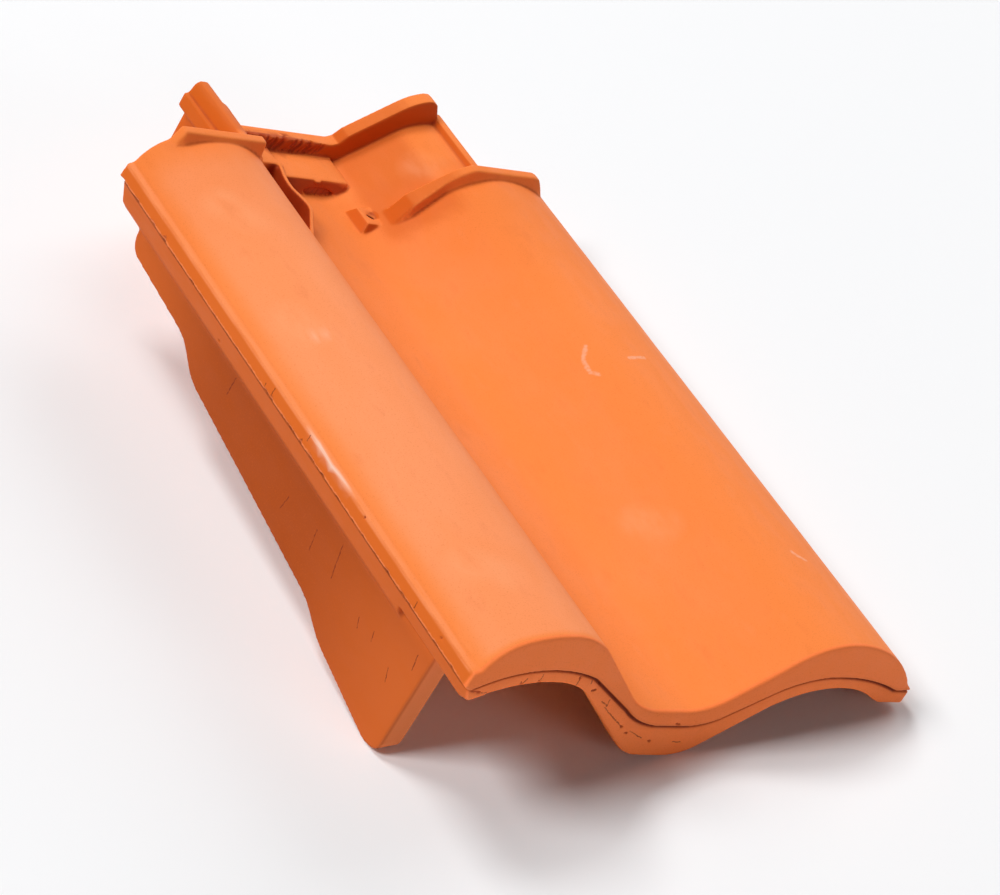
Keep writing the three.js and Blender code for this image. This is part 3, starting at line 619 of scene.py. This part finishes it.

# Edges are painted paler, as highlights.
colour = blend(clay, ramp(clay, stored("edge"), 0.3, 1.1, 0.0, 0.2), colour, PALE)
colour = blend(clay, product(clay, broken, 0.45), colour, PALE)
# Creases are painted darker, as shade, less on the lip's side, the strip and the flap.
calm = calc(clay, "MULTIPLY_ADD", on_side, -0.65, 0.8)
colour = blend(clay, calc(clay, "MULTIPLY", stored("crease"), calm), colour, TORN)
# The crack under the lip is painted dark, as the shade in it.
colour = blend(clay, product(clay, parted, ramp(clay, crumble, 0.7, 0.35, 0.25, 0.7)), colour, DARK)
colour = blend(clay, ramp(clay, grain, 0.5, 0.78, 0.0, 0.30), colour, DEEP)
# Torn strokes on the rim, and painted shade on its inner face, the fin's sides and the plateau's front.
colour = blend(clay, calc(clay, "MULTIPLY", stored("torn"), 0.92), colour, TORN)
colour = blend(clay, stored("chalk"), colour, CHALK)
# Painted shade in the nail slit, the groove and on the fin's sides.
colour = blend(clay, stored("dark"), colour, DARK)

# Each crack, pit, scuff and patch is a line on the clay, a little crooked, that fades out to the
# sides. Cracks and scuffs are uneven in strength as well.
HAIRLINE_REACH = 0.5
PIT_REACH = 0.8
SCUFF_REACH = 1.7
PATCH_REACH = 15.0
CROOKEDNESS = 1.6

hairline = bpy.data.node_groups.new("hairline", "ShaderNodeTree")
for name, kind in (
    ("Place", "Vector"),
    ("Start", "Vector"),
    ("Span", "Vector"),
    ("Shortness", "Float"),
    ("Width", "Float"),
):
    hairline.interface.new_socket(name, in_out="INPUT", socket_type="NodeSocket" + kind)
hairline.interface.new_socket("Mark", in_out="OUTPUT", socket_type="NodeSocketFloat")
line = hairline.nodes.new("NodeGroupInput").outputs
from_start = arrow(hairline, "SUBTRACT", line["Place"], line["Start"])
share = product(hairline, arrow(hairline, "DOT_PRODUCT", from_start, line["Span"]), line["Shortness"])
share = node(hairline, "ShaderNodeClamp", {"Value": share}).outputs[0]
off_line = arrow(hairline, "SUBTRACT", from_start, arrow(hairline, "SCALE", line["Span"], scale=share))
narrow = calc(hairline, "MULTIPLY", line["Width"], 0.35)
fade = {"Value": arrow(hairline, "LENGTH", off_line), "From Min": line["Width"], "From Max": narrow}
mark = node(hairline, "ShaderNodeMapRange", fade).outputs["Result"]
node(hairline, "NodeGroupOutput", {"Mark": mark})

inputs = {"Vector": on_tile, "Scale": 0.5, "Detail": 3.0}
wobble = node(clay, "ShaderNodeTexNoise", inputs).outputs["Color"]
half_back = arrow(clay, "SUBTRACT", on_tile, (CROOKEDNESS / 2,) * 3)
crooked = arrow(clay, "MULTIPLY_ADD", wobble, (CROOKEDNESS,) * 3, half_back)


def drawn(lines, width):
    """All the lines of one kind, as one mask."""
    whole = None
    for start, end in lines:
        span = Vector(end) - Vector(start)
        values = {"Place": crooked, "Start": start, "Span": span, "Width": width}
        values["Shortness"] = 1 / span.length_squared
        mark = node(clay, "ShaderNodeGroup", values, node_tree=hairline).outputs["Mark"]
        whole = mark if whole is None else calc(clay, "MAXIMUM", whole, mark)
    return whole


unevenness = ramp(clay, noise(clay, on_tile, 1.8, 2.0), 0.30, 0.55, 0.35, 1.0)
faintness = ramp(clay, mottle, 0.35, 0.65, 0.08, 0.26)
# The patches are painted highlights.
colour = blend(clay, product(clay, drawn(PATCHES, PATCH_REACH), faintness), colour, PAINTED_HIGHLIGHT)
colour = blend(clay, product(clay, drawn(SCUFFS, SCUFF_REACH), unevenness, 0.26), colour, CHALK)
colour = blend(clay, product(clay, drawn(HAIRLINES, HAIRLINE_REACH), unevenness, 0.9), colour, DARK)
colour = blend(clay, drawn(PITS, PIT_REACH), colour, DARK)
clay.links.new(colour, surface.inputs["Base Color"])
clay.links.new(ramp(clay, mottle, 0.3, 0.7, 0.56, 0.68), surface.inputs["Roughness"])
bump = node(clay, "ShaderNodeBump", {"Strength": 0.5, "Distance": GRAIN_HEIGHT * MM, "Height": grain})
clay.links.new(bump.outputs["Normal"], surface.inputs["Normal"])

# The sharp pressing is made into even clay, worked, and thinned to a mesh that is light to carry.
even = tile.modifiers.new("even clay", "REMESH")
even.mode = "VOXEL"
even.voxel_size = VOXEL
working = tile.modifiers.new("dry, tear and fire", "NODES")
working.node_group = work
identifiers = {item.name: item.identifier for item in work.interface.items_tree if item.in_out == "INPUT"}
working[identifiers["Fine Lines"]] = fine_lines
working[identifiers["Groove Lines"]] = groove_lines
working[identifiers["Pits"]] = pits
working[identifiers["Clay"]] = fired_clay
thin = tile.modifiers.new("fewer faces", "DECIMATE")
thin.ratio = SHARE_KEPT

fired_mesh = bpy.data.meshes.new_from_object(tile.evaluated_get(bpy.context.evaluated_depsgraph_get()))
tile.modifiers.clear()
tile.data = fired_mesh
fired_mesh.transform(to_floor)
for drawing in (fine_lines, groove_lines, pits):
    bpy.data.objects.remove(drawing)

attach(tile, "root")
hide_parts("verge_tile")
